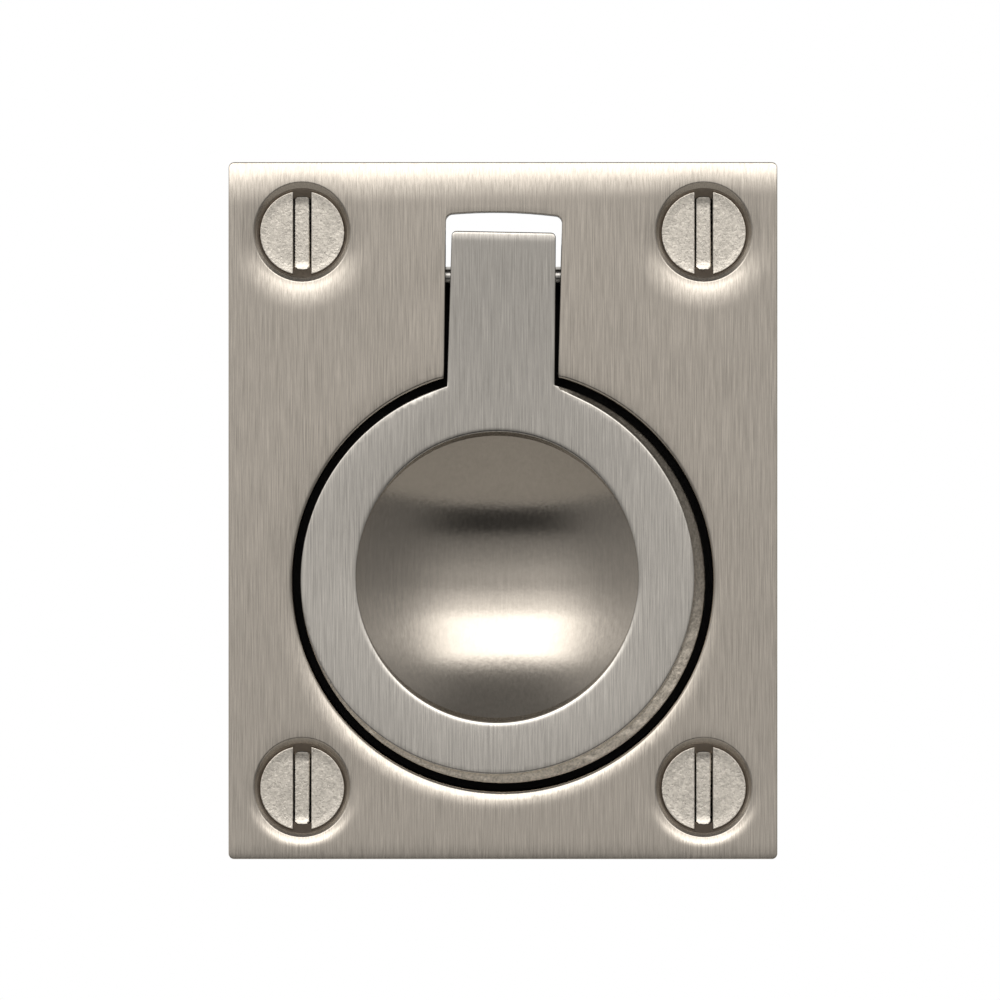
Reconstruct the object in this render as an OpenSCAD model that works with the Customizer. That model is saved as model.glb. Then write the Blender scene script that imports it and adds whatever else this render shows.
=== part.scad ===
// Flush ring pull: a cast plate with a round recess and a dished finger bowl, a ring that lies
// flush in the recess and swings out on a pin, and four countersunk wood screws.
// Everything is drawn lying on its back, with x to the right, y up the plate and z towards the
// user, and z = 0 on the plate's back face. upright() then stands it up, with its face to -Y.

/* [Plate] */
// Width of the plate
plate_w = 50; // [47:0.5:60]
// Height of the plate
plate_h = 63.5; // [62:0.5:76]
// Thickness of the plate
plate_t = 2.6; // [2.5:0.1:3.4]
// Radius of the plate's corners
plate_corner_r = 0.5; // [0.2:0.1:2]
// Width of the polished roll-over along the top edge
top_roll_w = 3.2; // [2:0.1:4.4]
// Radius of that roll-over
top_roll_r = 18; // [14:1:40]
// Width of the polished roll-over along the bottom edge
bottom_roll_w = 1.7; // [1:0.1:4.4]
// Radius of that roll-over
bottom_roll_r = 20; // [14:1:40]

/* [Recess and bowl] */
// Diameter of the round recess
recess_d = 38.3; // [36:0.1:39]
// Height of the recess's centre above the plate's centre
recess_y = -6.4; // [-7:0.1:-5]
// Width of the polished roll-over around the recess
recess_roll_w = 1.9; // [1:0.1:4]
// Radius of that roll-over
recess_roll_r = 14; // [10:1:40]
// Diameter of the bowl at the seat
bowl_d = 31; // [28:0.1:33]
// Depth of the bowl below the seat
bowl_depth = 6.2; // [4:0.1:8]
// Wall of the cup behind the plate
cup_wall = 1.6; // [1.2:0.1:2.4]

/* [Ring] */
// Thickness of the ring
ring_t = 3.4; // [2.8:0.1:3.6]
// Gap between the ring's rim and the recess
rim_gap = 0.7; // [0.5:0.05:1]
// Draft of the rim, from front to back
rim_draft = 0.3; // [0.2:0.05:0.6]
// How far the face's edge lies inside the rim, on average
face_inset = 0.5; // [0.3:0.05:0.9]
// How far the face sits above the recess's centre
face_lift = 0.33; // [0:0.01:0.4]
// Slope of the bevel that is filed from the face's edge to the rim
bevel_slope = 0.4; // [0.3:0.05:1]
// Diameter of the finger hole
ring_hole_d = 25.8; // [22:0.1:27]
// Width of the softened edge around the finger hole
hole_roll_w = 0.45; // [0.3:0.05:1]
// Radius of that edge
hole_roll_r = 1.4; // [1.1:0.1:3]
// Gap between the ring's back and its seat
seat_gap = 0.3; // [0.2:0.05:0.5]

/* [Stem and hinge] */
// Height of the hinge pin above the recess's centre
hinge_rise = 27.8; // [27.2:0.1:28.6]
// How far the ring and its slot lean, in degrees
hinge_lean = 1.1; // [0:0.1:1.5]
// Width of the stem at its end
stem_end_w = 9.5; // [8:0.1:10.4]
// Width of the stem where it meets the ring
stem_root_w = 9.85; // [8:0.1:10.4]
// Length of the stem above the pin
stem_tail = 4; // [3.4:0.1:4.4]
// Radius of the stem's end corners
stem_corner_r = 0.45; // [0.2:0.05:0.8]
// Width of the stem's rolled end edge
tail_roll_w = 0.9; // [0.4:0.05:1]
// Radius of that edge
tail_roll_r = 6; // [3:0.5:9]
// Diameter of the hinge pin
pin_d = 1.8; // [1.6:0.1:2.2]
// Metal between the plate's back and the pin hole
pin_cover = 0.3; // [0.2:0.05:0.6]
// Running clearance of the stem on the pin, all round
pin_clear = 0.05; // [0.02:0.01:0.1]
// Drive fit of the pin in the cheeks, drawn as a hair of clearance
pin_fit = 0.01; // [0.01:0.01:0.02]
// Metal around the pin in the stem's knuckle
knuckle_wall = 1.2; // [0.9:0.1:1.6]
// Metal around the pin in the cheeks
lug_wall = 2; // [1.5:0.1:2.6]
// Thickness of each cheek
cheek_t = 2.4; // [1.8:0.1:3.4]
// Gap beside the stem at its end
slot_end_gap = 0.55; // [0.4:0.05:0.8]
// Gap beside the stem where it meets the ring
slot_root_gap = 0.27; // [0.2:0.01:0.5]
// Clearance above the stem's end as it swings
slot_top_gap = 0.3; // [0.3:0.05:0.9]
// Rise of the slot's arched top
slot_arch = 0.24; // [0.05:0.01:0.3]
// Radius of the slot's top corners
slot_corner_r = 0.65; // [0.3:0.05:1]
// Room around the knuckle and the swinging stem
swing_gap = 0.4; // [0.3:0.05:0.7]
// Gap left between the stem's back and its stop when the ring is fully open
stop_gap = 0.3; // [0.25:0.05:0.5]
// How far the ring swings open, in degrees
swing = 105; // [90:1:106]

/* [Screws] */
// Distance of the screws from the plate's sides
screw_inset_x = 6.7; // [6:0.1:7.4]
// Distance of the screws from the plate's top and bottom
screw_inset_y = 6.45; // [6:0.05:7]
// Diameter of the countersink at the face
sink_d = 9.2; // [8.6:0.1:9.6]
// Width of the polished roll-over around each countersink
sink_roll_w = 2.2; // [1:0.1:2.6]
// Radius of that roll-over
sink_roll_r = 16; // [12:1:30]
// Clearance of the shank in its hole, all round
shank_clear = 0.2; // [0.1:0.05:0.4]
// Diameter of the shank
shank_d = 4; // [3.5:0.1:4.4]
// Diameter at the middle of the thread, which is drawn plain
thread_d = 3.4; // [2.8:0.1:3.6]
// Length of the screw
screw_len = 20; // [16:0.5:30]
// Length of the thread, with its point
thread_len = 12; // [9:0.5:13]
// Length of the point
point_len = 4; // [2:0.5:6]
// Diameter of the head
head_d = 7.7; // [7:0.1:8.2]
// Straight edge of the head
head_land = 0.15; // [0.05:0.05:0.3]
// Clearance of the head on its countersink
head_clear = 0.02; // [0.01:0.01:0.05]
// Width of the driver slot
drive_w = 1.65; // [1:0.05:2]
// Depth of the driver slot
drive_depth = 0.7; // [0.5:0.05:1.2]

/* [Hidden] */
$fn = 128;
// Overshoot of cuts past the faces they open
over = 1;
// How far joined shapes reach into each other
bite = 0.3;
// How far a roll-over's arc stands above its flat, so that the two cross and don't just touch
roll_lift = 0.003;
// Steps of a small corner's arc
corner_steps = 6;
// Steps of the slot's arched top
arch_steps = 8;
// Radius left at a screw's very point
point_r = 0.2;
// Chamfer on the pin's ends
pin_chamfer = 0.2;

recess_r = recess_d / 2;
ring_back = plate_t - ring_t;
seat_z = ring_back - seat_gap;
bowl_r = (pow(bowl_d / 2, 2) + pow(bowl_depth, 2)) / (2 * bowl_depth);
bowl_bottom = seat_z - bowl_depth;
bowl_centre = bowl_bottom + bowl_r;
cup_r = recess_r + cup_wall;
flange_z = seat_z - cup_wall;
cup_back = bowl_bottom - cup_wall;

pin_r = pin_d / 2;
pin_y = recess_y + hinge_rise;
pin_z = -pin_r - pin_cover;
pin_depth = plate_t - pin_z;
knuckle_r = pin_r + pin_clear + knuckle_wall;
lug_r = pin_r + lug_wall;

rim_r = recess_r - rim_gap;
face_r = rim_r - face_inset;
face_drop = hinge_rise - face_lift;

tail_sweep = norm([stem_tail, pin_depth - fall(tail_roll_w, tail_roll_r)]);
slot_top = tail_sweep + slot_top_gap;
pocket_y = pin_y - knuckle_r - swing_gap;
pocket_z = pin_z - knuckle_r - swing_gap;
pocket_back = pocket_z - cup_wall;
floor_edge = stop_y(pocket_back);
neck_w = stem_end_w + 2 * (slot_end_gap + cheek_t);
neck_y = recess_y + sqrt(pow(cup_r, 2) - pow(neck_w / 2, 2)) - bite;

screw_x = plate_w / 2 - screw_inset_x;
screw_y = plate_h / 2 - screw_inset_y;
sink_r = sink_d / 2;
shank_r = shank_d / 2;
thread_r = thread_d / 2;
hole_r = shank_r + shank_clear;
head_r = head_d / 2;
head_top = plate_t - (sink_r - head_r) + head_land + head_clear;
head_neck = head_top - head_land - (head_r - shank_r);
thread_top = head_top - screw_len + thread_len;
point_top = head_top - screw_len + point_len;

// Points along an arc of radius r about c
function arc(c, r, from, to, steps) =
    [for (i = [0:steps]) let (a = from + (to - from) * i / steps) c + r * [cos(a), sin(a)]];

// How far an arc of radius r has fallen at a distance w from its top
function fall(w, r) = r - sqrt(r * r - w * w);

// Height of the stop at a depth z: its face lies along the stem's back when the ring is fully open
function stop_y(z) =
    let (back = pin_depth - ring_t - stop_gap)
    pin_y + back * sin(swing) + (pin_z + back * cos(swing) - z) / tan(swing);

// Half the slot's width at a height y above the pin
function slot_half(y) =
    let (root = recess_y + recess_r - pin_y)
    let (wide = stem_end_w / 2 + slot_end_gap)
    let (narrow = stem_root_w / 2 + slot_root_gap)
    narrow + (wide - narrow) * (y - root) / (slot_top - root);

// Stands a shape that is drawn on its back upright, with its face to -Y
module upright() {
    rotate([90, 0, 0]) children();
}

// Places a shape that is drawn about the pin, leaning as the ring does
module hinged() {
    translate([0, pin_y, 0]) rotate([0, 0, -hinge_lean]) children();
}

// Sweeps a profile of (height, depth) points across the plate, centred on x = 0
module across(width) {
    translate([-width / 2, 0, 0]) rotate([90, 0, 90]) linear_extrude(width) children();
}

// Section to cut away above an arc that falls from a flat at x = 0 to an edge at x = w
module roll_off(w, r) {
    depth = min(fall(min(w + over, r), r) + over, r);
    difference() {
        translate([0, -depth]) square([w + over, depth + over]);
        translate([0, roll_lift - r]) circle(r);
    }
}

// The same section, falling inwards to the edge of a hole of radius hole
module hole_roll(hole, w, r) {
    translate([hole + w, 0]) mirror([1, 0]) roll_off(w, r);
}

module plate_outline() {
    x = plate_w / 2 - plate_corner_r;
    y = plate_h / 2 - plate_corner_r;
    polygon([
        for (q = [0:3])
            let (c = [(q == 0 || q == 3) ? x : -x, q < 2 ? y : -y])
            each arc(c, plate_corner_r, 90 * q, 90 * q + 90, corner_steps)
    ]);
}

// Cut for the roll-over along the top edge
module end_roll(w, r) {
    translate([0, plate_h / 2 - w, plate_t]) across(plate_w + 2 * over) roll_off(w, r);
}

module plate_blank() {
    difference() {
        linear_extrude(plate_t) plate_outline();
        end_roll(top_roll_w, top_roll_r);
        mirror([0, 1, 0]) end_roll(bottom_roll_w, bottom_roll_r);
    }
}

// Outside of the cup: a flange behind the seat and a dome behind the bowl
module cup_blank() {
    translate([0, recess_y, 0])
        rotate_extrude() {
            translate([0, flange_z]) square([cup_r, bite - flange_z]);
            intersection() {
                translate([0, bowl_centre]) circle(bowl_r + cup_wall);
                translate([0, cup_back - over]) square([cup_r, flange_z + bite - cup_back + over]);
            }
        }
}

// Outside of the hinge neck: it deepens from the cup to the pocket and ends in a round lug
module neck_blank() {
    across(neck_w)
        polygon(concat(
            [[neck_y, bite], [pin_y + lug_r, bite]],
            arc([pin_y, pin_z], lug_r, 0, -90, corner_steps),
            [[floor_edge, pocket_back], [pocket_y - cup_wall, pocket_back], [neck_y, flange_z]]
        ));
}

// Round recess, seat and bowl, with the roll-over at the face
module recess_cut() {
    translate([0, recess_y, 0])
        rotate_extrude() {
            translate([0, seat_z]) square([recess_r, plate_t - seat_z + over]);
            intersection() {
                translate([0, bowl_centre]) circle(bowl_r);
                translate([0, bowl_bottom - over]) square([recess_r, seat_z + bite - bowl_bottom + over]);
            }
            translate([0, plate_t]) hole_roll(recess_r, recess_roll_w, recess_roll_r);
        }
}

// Outline of the hinge slot about the pin, from inside the recess up to its arched top
module slot_outline() {
    foot = recess_y + bowl_d / 2 - pin_y;
    shoulder = slot_top - slot_arch - slot_corner_r;
    corner_x = slot_half(shoulder) - slot_corner_r;
    polygon(concat(
        [[-slot_half(foot), foot], [slot_half(foot), foot]],
        arc([corner_x, shoulder], slot_corner_r, 0, 90, corner_steps),
        [for (i = [1:arch_steps - 1])
            let (s = 1 - 2 * i / arch_steps) [s * corner_x, slot_top - slot_arch * s * s]],
        arc([-corner_x, shoulder], slot_corner_r, 90, 180, corner_steps)
    ));
}

// Slot for the stem, deeper behind the knuckle and open at the back for the swinging end
module slot_cut() {
    back = pocket_back - over;
    front = plate_t + over;
    intersection() {
        hinged() translate([0, 0, back]) linear_extrude(front - back) slot_outline();
        across(neck_w)
            polygon([
                [recess_y, front], [recess_y, seat_z], [pocket_y, seat_z], [pocket_y, pocket_z],
                [stop_y(pocket_z), pocket_z], [stop_y(back), back],
                [plate_h / 2, back], [plate_h / 2, front]
            ]);
    }
}

module pin_bore(r) {
    translate([0, pin_y, pin_z]) rotate([0, 90, 0]) cylinder(r = r, h = plate_w, center = true);
}

// Puts a copy at each of the four screws
module at_screws() {
    for (x = [-1, 1], y = [-1, 1])
        translate([x * screw_x, y * screw_y, 0]) children();
}

// Countersunk hole with the roll-over around it
module sink_cut() {
    rotate_extrude() {
        polygon([
            [0, -over], [hole_r, -over], [hole_r, plate_t - sink_r + hole_r],
            [sink_r + over, plate_t + over], [0, plate_t + over]
        ]);
        translate([0, plate_t]) hole_roll(sink_r, sink_roll_w, sink_roll_r);
    }
}

module backplate() {
    color("#a8a097") upright()
        difference() {
            union() {
                plate_blank();
                cup_blank();
                neck_blank();
            }
            recess_cut();
            slot_cut();
            pin_bore(pin_r + pin_fit);
            at_screws() sink_cut();
        }
}

// Outline of the stem about the pin, from inside the ring up to its end
module stem_outline() {
    end_x = stem_end_w / 2 - stem_corner_r;
    end_y = stem_tail - stem_corner_r;
    root_y = (face_r + ring_hole_d / 2) / 2 - face_drop;
    polygon(concat(
        [[-stem_root_w / 2, root_y], [stem_root_w / 2, root_y]],
        arc([end_x, end_y], stem_corner_r, 0, 90, corner_steps),
        arc([-end_x, end_y], stem_corner_r, 90, 180, corner_steps)
    ));
}

// Drafted rim that follows the recess, filed back to a bevel about the ring's own centre
module ring_disc() {
    intersection() {
        translate([0, recess_y, ring_back]) cylinder(r1 = rim_r - rim_draft, r2 = rim_r, h = ring_t);
        hinged()
            translate([0, -face_drop, ring_back])
                cylinder(r1 = face_r + ring_t / bevel_slope, r2 = face_r, h = ring_t);
    }
}

// Stem as thick as the ring, with the knuckle standing out behind it
module stem() {
    hinged() translate([0, 0, ring_back]) linear_extrude(ring_t) stem_outline();
    intersection() {
        pin_bore(knuckle_r);
        hinged() translate([0, 0, pocket_z]) linear_extrude(plate_t - pocket_z - bite) stem_outline();
    }
}

// Finger hole with its softened edge
module hole_cut() {
    translate([0, -face_drop, 0])
        rotate_extrude() {
            translate([0, ring_back - over]) square([ring_hole_d / 2, ring_t + 2 * over]);
            translate([0, plate_t]) hole_roll(ring_hole_d / 2, hole_roll_w, hole_roll_r);
        }
}

module pull_ring() {
    color("#b6aea5") upright()
        difference() {
            union() {
                ring_disc();
                stem();
            }
            hinged() {
                hole_cut();
                translate([0, stem_tail - tail_roll_w, plate_t])
                    across(stem_end_w + 2 * over) roll_off(tail_roll_w, tail_roll_r);
            }
            pin_bore(pin_r + pin_clear);
        }
}

module hinge_pin() {
    half = neck_w / 2;
    color("#6f6b66") upright()
        translate([0, pin_y, pin_z]) rotate([0, 90, 0])
            rotate_extrude()
                polygon([
                    [0, -half], [pin_r - pin_chamfer, -half], [pin_r, -half + pin_chamfer],
                    [pin_r, half - pin_chamfer], [pin_r - pin_chamfer, half], [0, half]
                ]);
}

// One wood screw, standing head up at its place in the plate
module screw() {
    difference() {
        rotate_extrude()
            polygon([
                [0, head_top], [head_r, head_top], [head_r, head_top - head_land],
                [shank_r, head_neck], [shank_r, thread_top], [thread_r, thread_top],
                [thread_r, point_top], [point_r, head_top - screw_len], [0, head_top - screw_len]
            ]);
        translate([0, 0, head_top + over / 2])
            cube([drive_w, head_d + over, 2 * drive_depth + over], center = true);
    }
}

module fixing_screws() {
    color("#c4bdb3") upright() at_screws() screw();
}

backplate();
pull_ring();
hinge_pin();
fixing_screws();
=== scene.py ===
"""Satin nickel flush ring pull: plate, finger bowl, hinged ring, pin and slotted wood screws.

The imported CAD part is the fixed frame. Each piece is a copy of its CAD solid whose visible faces
are made again, finer, with worn edges, polishing waves and the marks of brush, file and casting.
Sizes in the classes are in mm in the drawing's frame: x to the right, y up the plate and z
out of its face, with z = 0 on the plate's back.
"""

import logging
import math
from dataclasses import dataclass, field
from enum import Enum, IntEnum
from typing import Any, Callable, Iterable, Sequence

import bmesh
import bpy
import numpy as np
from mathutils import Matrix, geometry


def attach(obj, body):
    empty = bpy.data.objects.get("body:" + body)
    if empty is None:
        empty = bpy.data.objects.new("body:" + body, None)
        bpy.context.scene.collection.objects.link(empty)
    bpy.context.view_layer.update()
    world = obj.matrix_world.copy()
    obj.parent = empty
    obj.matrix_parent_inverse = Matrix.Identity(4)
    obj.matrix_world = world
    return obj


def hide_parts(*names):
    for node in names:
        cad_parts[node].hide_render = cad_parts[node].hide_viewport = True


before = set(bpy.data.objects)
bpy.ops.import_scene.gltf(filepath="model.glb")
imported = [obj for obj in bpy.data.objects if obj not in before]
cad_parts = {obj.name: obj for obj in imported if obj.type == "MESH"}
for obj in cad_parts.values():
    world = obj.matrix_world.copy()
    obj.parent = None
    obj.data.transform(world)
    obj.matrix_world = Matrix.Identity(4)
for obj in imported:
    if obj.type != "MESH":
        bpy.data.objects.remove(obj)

logging.basicConfig(level=logging.INFO, format="%(name)s: %(message)s")
LOG = logging.getLogger("ring_pull")
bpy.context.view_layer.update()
MM = 0.001
# The longest edge along a rim, when two of its points are one, when they snap to a circle, and how
# far the points inside a face keep from its rims, in mm.
RIM_STEP, REPEAT, SNAP, RIM_CLEAR = 0.6, 0.012, 0.05, 0.12
# When points weld in the CAD mesh and in the finished piece, and lie on a cut, in mm.
CAD_WELD, WELD, ON_CUT = 1e-4, 2e-4, 1e-5
# The area of a sliver, the tolerance of the triangles that fill a face, and next to nothing.
SLIVER, FILL_TOLERANCE, TINY = 1e-5, 1e-7, 1e-12
# The cosine of the turn at which a rim doubles back, and the least share of a mitre.
DOUBLE_BACK, LEAST_MITRE = -0.98, 0.6
# Rows of faces across a worn edge, waves in a ripple, and the turn that leaves an edge sharp.
BAND_STEPS, WAVES, SMOOTH_ANGLE = 5, 7, math.radians(33)
# How near to a place a face counts as on it, in mm, and the normal's z where a face looks back.
NEAR, BACKWARD = 0.05, -0.5

Array = np.ndarray
Pair = tuple[float, float]
Row = list[int]
Height = Callable[[Array], Array]
Choice = Callable[[Array, Array], Array]
Steps = tuple[Pair, ...]
Waves = tuple[float, float, int]
Tree = bpy.types.NodeTree
Socket = bpy.types.NodeSocket


class Side(IntEnum):
    """Places of the finishes in a piece's own list of materials."""

    FACE = 0
    BOWL = 1
    BEVEL = 1
    # Black painted shade in a screw slot's gutters.
    SHADED_GUTTER = 1
    BACK = 2
    # Black painted shade in the recess and slot behind the ring.
    SHADED_RECESS = 3
    # Darker painted shade deep in the countersinks.
    SHADED_SINK = 4


def linear(colour: str) -> tuple[float, float, float, float]:
    """Turns an sRGB hex value to linear light.

    Args:
        colour: The value as #rrggbb.

    Returns:
        Red, green, blue and an opaque alpha.
    """
    parts = [int(colour[i : i + 2], 16) / 255 for i in (1, 3, 5)]
    red, green, blue = [c / 12.92 if c <= 0.04045 else ((c + 0.055) / 1.055) ** 2.4 for c in parts]
    return red, green, blue, 1.0


def add(tree: Tree, kind: str, inputs: dict | None = None, **settings: Any) -> bpy.types.Node:
    """Adds a node, sets its properties, and sets or links its inputs.

    Args:
        tree: The node tree to add it to.
        kind: The shader node's type name.
        inputs: Input names or numbers, each with a value or with a socket to link.
        settings: The node's properties.

    Returns:
        The new node.
    """
    node = tree.nodes.new(f"ShaderNode{kind}")
    for name, value in settings.items():
        setattr(node, name, value)
    for key, value in (inputs or {}).items():
        if isinstance(value, Socket):
            tree.links.new(value, node.inputs[key])
        else:
            node.inputs[key].default_value = value
    return node


def calc(tree: Tree, operation: str, *values: Any) -> Socket:
    """Adds a calculation with values or sockets and gives its result."""
    return add(tree, "Math", dict(enumerate(values)), operation=operation).outputs[0]


def mix(tree: Tree, share: Socket, first: Any, second: Any) -> Socket:
    """Adds a mix of two levels and gives its result."""
    return add(tree, "Mix", {"Factor": share, "A": first, "B": second}).outputs[0]


def blend(tree: Tree, value: Socket, low: float, high: float) -> Socket:
    """Adds a smooth rise from 0 at low to 1 at high and gives its result."""
    inputs = {"Value": value, "From Min": low, "From Max": high}
    return add(tree, "MapRange", inputs, interpolation_type="SMOOTHSTEP").outputs[0]


def fall(reach: Array, radius: float | Array) -> Array:
    """Gives how far a round of that radius has fallen at a distance from its top."""
    return radius - np.sqrt(radius**2 - np.clip(reach, 0, radius) ** 2)


def ease(value: Array, low: float, high: float) -> Array:
    """Rises smoothly from 0 at low to 1 at high."""
    t = np.clip((value - low) / (high - low), 0, 1)
    return t * t * (3 - 2 * t)


def circle(count: int, closed: bool = False) -> Array:
    """Gives points around a circle of radius 1, and the first again at the end if it is closed."""
    turn = np.linspace(0, 2 * math.pi, count, endpoint=closed)
    return np.column_stack([np.cos(turn), np.sin(turn)])


def thicken(loop: Array, step: float) -> Array:
    """Gives points along a closed outline, no further apart than the step.

    Args:
        loop: The outline's corners, a row each.
        step: The greatest distance between points.

    Returns:
        The points, a row each.
    """
    parts = []
    for start, end in zip(loop, np.roll(loop, -1, axis=0)):
        count = max(1, math.ceil(np.linalg.norm(end - start) / step))
        parts.append(start + (end - start) * np.linspace(0, 1, count, endpoint=False)[:, None])
    return np.vstack(parts)


def ripple(xy: Array, wave: float, depth: float, seed: int) -> Array:
    """Gives gentle waves such as hand polishing leaves.

    Args:
        xy: Points across the face.
        wave: Mean length of a wave.
        depth: Height of the waves.
        seed: Seed of their directions and phases.

    Returns:
        A height for each point.
    """
    draw = np.random.default_rng(seed)
    total = np.zeros(len(xy))
    for _ in range(WAVES):
        turn, phase = draw.uniform(0, 2 * math.pi, 2)
        pitch = 2 * math.pi / (wave * draw.uniform(0.7, 1.6))
        total += np.sin(pitch * (xy[:, 0] * math.cos(turn) + xy[:, 1] * math.sin(turn)) + phase)
    return total * depth / 3


def within(points: Array, loops: list[Array]) -> Array:
    """Tells which points lie inside the first loop and outside the holes in it.

    Args:
        points: Points across the face.
        loops: Closed outlines.

    Returns:
        True for each point inside.
    """
    odd = np.zeros(len(points), bool)
    px, py = points[:, 0], points[:, 1]
    for loop in loops:
        for (x0, y0), (x1, y1) in zip(loop, np.roll(loop, -1, axis=0)):
            if y0 != y1:
                crosses = (y0 > py) != (y1 > py)
                odd ^= crosses & (px < (x1 - x0) * (py - y0) / (y1 - y0) + x0)
    return odd


@dataclass
class Shell:
    """Faces of one piece while it is made, in mm in the drawing's frame."""

    points: list[tuple[float, float, float]] = field(default_factory=list)
    faces: list[tuple[int, ...]] = field(default_factory=list)
    finishes: list[int] = field(default_factory=list)

    def add_points(self, points: Array) -> Row:
        """Adds points.

        Args:
            points: The points, a row of x, y and z each.

        Returns:
            Their numbers.
        """
        first = len(self.points)
        self.points.extend(map(tuple, points.tolist()))
        return list(range(first, first + len(points)))

    def add_faces(self, faces: list[tuple[int, ...]], finish: int) -> None:
        """Adds faces that have one finish."""
        self.faces.extend(faces)
        self.finishes.extend([finish] * len(faces))

    def at(self, numbers: Iterable[int]) -> Array:
        """Gives the places of numbered points."""
        return np.array([self.points[i] for i in numbers])

    def band(self, rows: list[Row], finish: int) -> None:
        """Joins closed rows of points, one after the other, with quads.

        Args:
            rows: The numbers of each row's points, as many in each.
            finish: The place of the faces' finish.
        """
        for low, high in zip(rows, rows[1:]):
            n = len(low)
            quads = [(low[i], low[(i + 1) % n], high[(i + 1) % n], high[i]) for i in range(n)]
            self.add_faces(quads, finish)

    def fan(self, row: Row, tip: list[float], finish: int) -> None:
        """Closes a row of points with triangles to a tip.

        Args:
            row: The numbers of the row's points.
            tip: The place of the tip.
            finish: The place of the faces' finish.
        """
        end = self.add_points(np.array([tip]))[0]
        n = len(row)
        self.add_faces([(row[i], row[(i + 1) % n], end) for i in range(n)], finish)

    def snap(self, rim: Row, centre: Pair, radius: float) -> None:
        """Moves the points of a rim that lie almost on a circle exactly onto it.

        Args:
            rim: The numbers of the rim's points.
            centre: The circle's centre.
            radius: The circle's radius.
        """
        for i in rim:
            x, y, z = self.points[i]
            reach = math.hypot(x - centre[0], y - centre[1])
            if abs(reach - radius) < SNAP:
                share = radius / reach
                x, y = centre[0] + (x - centre[0]) * share, centre[1] + (y - centre[1]) * share
                self.points[i] = (x, y, z)

    def clear_rim(self, rim: Row) -> Row:
        """Clears a rim of points that repeat their neighbour or double back, which merge with it.

        Args:
            rim: Numbers of the points around the rim.

        Returns:
            The points that are left.
        """
        left, checked, merged = list(rim), 0, {}
        while checked < len(left):
            before, point, after = (np.array(self.points[i][:2]) for i in left[:3])
            to_point, to_after = np.linalg.norm(point - before), np.linalg.norm(after - point)
            back = np.dot(point - before, after - point) < DOUBLE_BACK * to_point * to_after
            if to_point < REPEAT or (back and to_after > REPEAT):
                onto = left[2] if to_point > to_after else left[0]
                merged[left.pop(1)] = onto
                checked = 0
            else:
                left.append(left.pop(0))
                checked += 1
        for number, face in enumerate(self.faces):
            while merged.keys() & set(face):
                face = tuple(dict.fromkeys(merged.get(i, i) for i in face))
            self.faces[number] = face
        self.finishes = [finish for face, finish in zip(self.faces, self.finishes) if len(face) > 2]
        self.faces = [face for face in self.faces if len(face) > 2]
        return left

    def drop_to(self, rim: Row, height: Height) -> Row:
        """Sets a rim's points to the height of the face that it bounds.

        Args:
            rim: The numbers of the rim's points.
            height: Gives the face's height.

        Returns:
            The same rim.
        """
        spots = self.at(rim)
        for i, (x, y, _), z in zip(rim, spots, height(spots[:, :2])):
            self.points[i] = (x, y, float(z))
        return rim

    def round_rim(
        self, rim: Row, height: Height, reach: float | Array, outer: bool, lean: float, finish: int
    ) -> Row:
        """Wears the sharp edge along a rim to a round.

        Args:
            rim: Numbers of the points at the top of the wall.
            height: Height of the face that meets the wall.
            reach: How far it reaches along the face and down the wall, in all or at each point.
            outer: True if the rim is the outline, and False if it is a hole's.
            lean: Angle of the wall from upright, in radians.
            finish: Finish of the new faces.

        Returns:
            Numbers of the points where the round meets the face.
        """
        edge = self.at(rim)[:, :2]
        ahead = np.roll(edge, -1, axis=0) - edge
        ahead /= np.linalg.norm(ahead, axis=1)[:, None] + TINY
        side = np.column_stack([-ahead[:, 1], ahead[:, 0]])
        mean = side + np.roll(side, 1, axis=0)
        mean /= np.linalg.norm(mean, axis=1)[:, None] + TINY
        mitre = np.clip(np.sum(mean * side, axis=1), LEAST_MITRE, 1)
        x, y = edge[:, 0], edge[:, 1]
        turns_left = np.sum(x * np.roll(y, -1) - np.roll(x, -1) * y) > 0
        inward = (mean if turns_left == outer else -mean) / mitre[:, None]
        top = np.column_stack([edge, height(edge)])
        down = np.column_stack([-inward * math.sin(lean), np.full(len(edge), -math.cos(lean))])
        far = np.broadcast_to(reach, len(edge))[:, None]
        start = top + far * down
        across = edge + far * inward
        end = np.column_stack([across, height(across)])
        for i, spot in zip(rim, start):
            self.points[i] = tuple(spot.tolist())
        rows = [rim]
        for t in np.linspace(0, 1, BAND_STEPS + 1)[1:]:
            rows.append(self.add_points(start * (1 - t) ** 2 + top * 2 * t * (1 - t) + end * t * t))
        self.band(rows, finish)
        return rows[-1]

    def fill(
        self, rims: list[Row], height: Height, step: float, finish: int, creases: Sequence[Array] = ()
    ) -> None:
        """Fills a face between its rims with fine triangles.

        Args:
            rims: The outline's points and then each hole's.
            height: Height of the face.
            step: Distance between points.
            finish: Finish of the face.
            creases: Lines of points across the face that triangles keep to.
        """
        loops = [self.at(rim)[:, :2] for rim in rims]
        edge = np.vstack(loops)
        dense = np.vstack([thicken(loop, RIM_CLEAR) for loop in loops])
        low, high = edge.min(0), edge.max(0)
        ys = np.arange(low[1], high[1], step * math.sqrt(3) / 2)
        xs = np.arange(low[0], high[0], step)
        odd = step / 2
        rows = [np.column_stack([xs + k % 2 * odd, np.full(len(xs), y)]) for k, y in enumerate(ys)]
        bounds, first = [], 0
        for loop in loops:
            n = len(loop)
            bounds += [(first + i, first + (i + 1) % n) for i in range(n)]
            first += n
        kept = np.empty((0, 2))
        for crease in creases:
            clear = within(crease, loops) & (self.nearest(crease, dense) > RIM_CLEAR)
            middle = (crease[:-1] + crease[1:]) / 2
            joined = clear[:-1] & clear[1:] & (self.nearest(middle, dense) > RIM_CLEAR)
            numbers = first + len(kept) + np.cumsum(clear) - 1
            kept = np.vstack([kept, crease[clear]])
            bounds += [(int(numbers[i]), int(numbers[i + 1])) for i in np.flatnonzero(joined)]
        grid = np.vstack(rows)
        grid = grid[within(grid, loops)]
        grid = grid[self.nearest(grid, np.vstack([dense, kept])) > 0.5 * step]
        grid = np.vstack([kept, grid])
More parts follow.
